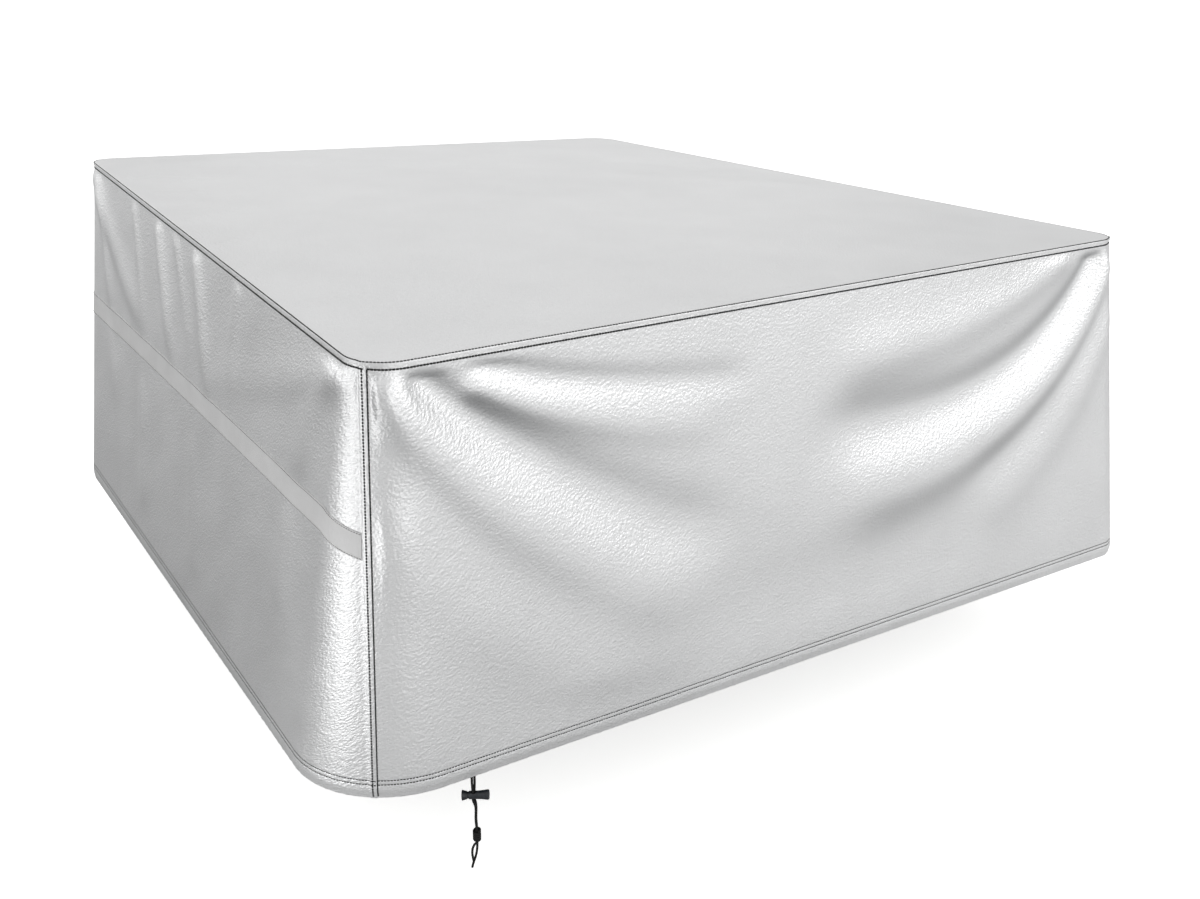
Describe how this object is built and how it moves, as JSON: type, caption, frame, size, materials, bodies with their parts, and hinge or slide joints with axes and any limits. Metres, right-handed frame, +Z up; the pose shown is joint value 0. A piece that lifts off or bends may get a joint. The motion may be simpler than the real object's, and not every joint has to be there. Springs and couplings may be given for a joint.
{
  "type": "patio furniture cover",
  "caption": "Fitted rectangular cover of silver coated cloth for outdoor furniture: flat top, hemmed hanging sides, a sewn side band and a drawcord with a push lock.",
  "frame": {"origin": "under the middle of the top, where the furniture carries it", "axes": "+X along the front side to the right as seen from the front, +Y from the front side to the back, +Z up; the sides hang towards -Z"},
  "size_m": [1.7979, 1.8662, 0.9214],
  "materials": {
    "top_cloth": "silver coated polyester, softly shining",
    "side_cloth": "silver coated polyester, softly shining",
    "band_tape": "matte silver tape",
    "cord": "black braided polyester",
    "lock_plastic": "black moulded plastic"
  },
  "bodies": {
    "cover": {"top_panel": "top_cloth", "front_panel": "side_cloth", "right_panel": "side_cloth", "back_panel": "side_cloth", "left_panel": "side_cloth", "side_band": "band_tape", "drawcord_strand_a": "cord", "drawcord_strand_b": "cord", "drawcord_knot": "cord", "cord_lock_barrel": "lock_plastic"},
    "lock_plunger": {"cord_lock_plunger": "lock_plastic"}
  },
  "joints": [
    {"name": "plunger_press", "type": "slide", "parent": "cover", "child": "lock_plunger", "axis": [0.8379, -0.5441, 0.0436], "range_m": [0, 0.003], "stiffness_N_per_m": 300}
  ]
}
